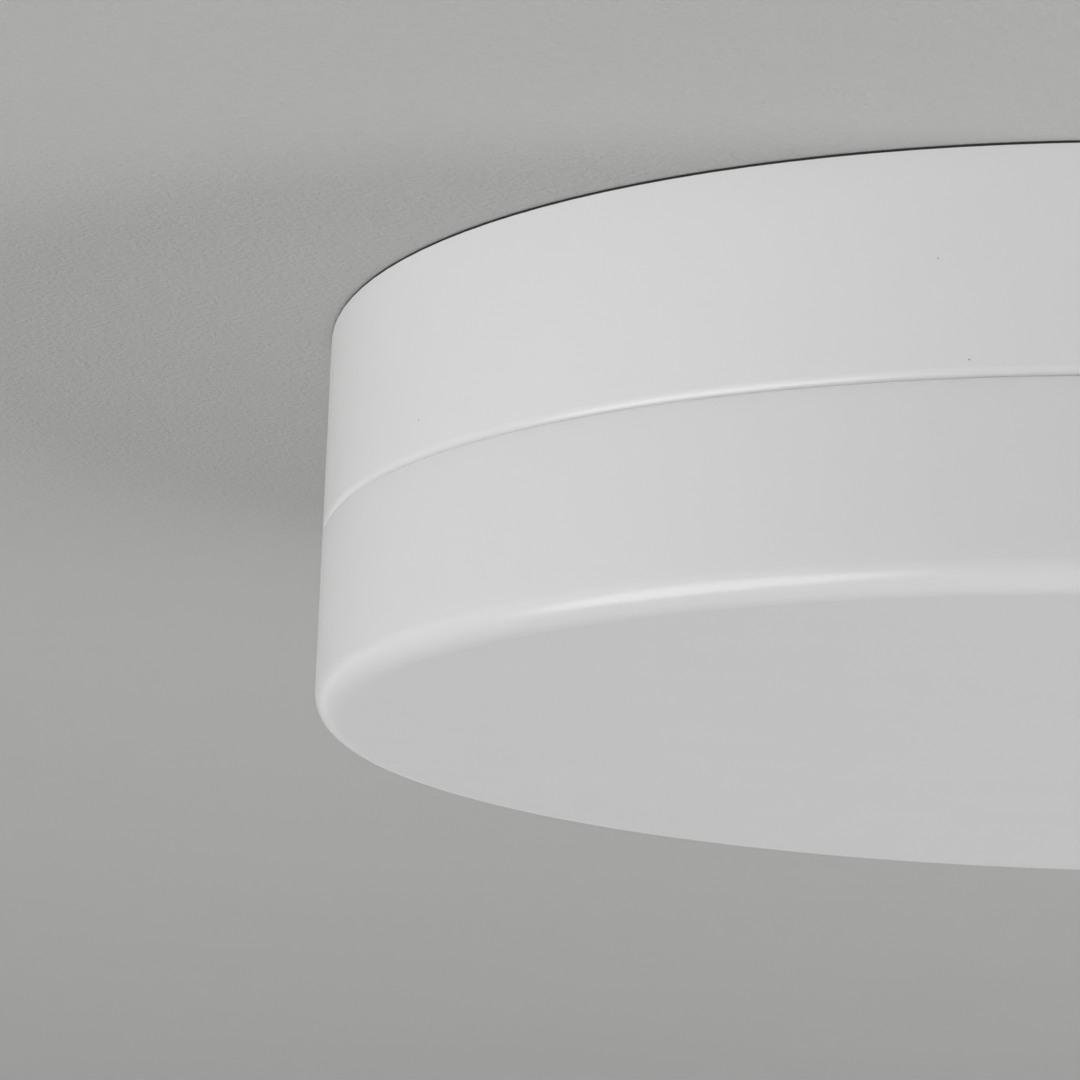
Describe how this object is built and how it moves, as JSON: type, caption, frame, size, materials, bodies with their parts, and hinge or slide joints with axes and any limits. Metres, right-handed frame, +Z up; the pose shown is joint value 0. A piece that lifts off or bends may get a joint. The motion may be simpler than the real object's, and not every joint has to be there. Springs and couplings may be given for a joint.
{
  "type": "flush mount ceiling light",
  "caption": "Round flush mount ceiling light: white housing band above an opal diffuser of the same width, with driver, light board, push-in terminals and pull-off diffuser",
  "frame": {"origin": "the middle of the two-slot fixing pattern, on the plane of the ceiling; the light hangs below it", "axes": "+Z up into the ceiling, X along the line of the two fixing slots, Y from the terminal block to the driver"},
  "size_m": [0.22, 0.22, 0.052],
  "materials": {
    "white_moulding": "semi-gloss white moulding",
    "opal_moulding": "satin opal moulding",
    "dark_foam": "closed-cell foam",
    "grey_rubber": "matte",
    "clear_silicone": "satin translucent white",
    "terminal_white": "satin",
    "button_orange": "satin",
    "contact_brass": "plain",
    "zinc_steel": "bright zinc plated",
    "spring_steel": "satin",
    "brown_insulation": "satin",
    "blue_insulation": "satin",
    "red_insulation": "satin",
    "black_insulation": "satin",
    "driver_moulding": "fine texture",
    "green_laminate": "satin solder mask",
    "ferrite": "matte",
    "capacitor_sleeve": "glossy sleeve",
    "chip_black": "matte",
    "tray_paint": "white powder coat",
    "white_solder_mask": "white solder mask",
    "package_white": "satin",
    "phosphor": "glossy silicone",
    "connector_white": "satin"
  },
  "bodies": {
    "fixture": {"housing": "white_moulding", "ceiling_gasket": "dark_foam", "cable_grommet": "grey_rubber", "terminal_block": "terminal_white", "terminal_contacts": "contact_brass", "terminal_screws": "zinc_steel", "clamp_spring_live": "spring_steel", "clamp_spring_neutral": "spring_steel", "live_lead": "brown_insulation", "neutral_lead": "blue_insulation", "driver_case": "driver_moulding", "driver_cover": "driver_moulding", "driver_board": "green_laminate", "driver_transformer": "ferrite", "driver_capacitors": "capacitor_sleeve", "driver_choke": "ferrite", "driver_chips": "chip_black", "driver_screws": "zinc_steel", "led_tray": "tray_paint", "tray_screws": "zinc_steel", "tray_grommet": "grey_rubber", "led_board": "white_solder_mask", "led_packages": "package_white", "led_windows": "phosphor", "board_screws": "zinc_steel", "board_connector": "connector_white", "spring_catches": "spring_steel", "catch_screws": "zinc_steel", "positive_lead": "red_insulation", "negative_lead": "black_insulation"},
    "diffuser": {"diffuser": "opal_moulding", "diffuser_seal": "clear_silicone"},
    "live_button": {"release_button_live": "button_orange"},
    "neutral_button": {"release_button_neutral": "button_orange"}
  },
  "joints": [
    {"name": "diffuser_pull", "type": "slide", "parent": "fixture", "child": "diffuser", "axis": [0, 0, -1], "range_m": [0, 0.06], "deforming": ["spring_catches"]},
    {"name": "live_release", "type": "slide", "parent": "fixture", "child": "live_button", "axis": [0, 0, 1], "range_m": [0, 0.0015], "stiffness_N_per_m": 1500, "springref_m": -0.0004, "deforming": ["clamp_spring_live"]},
    {"name": "neutral_release", "type": "slide", "parent": "fixture", "child": "neutral_button", "axis": [0, 0, 1], "range_m": [0, 0.0015], "stiffness_N_per_m": 1500, "springref_m": -0.0004, "deforming": ["clamp_spring_neutral"]}
  ]
}
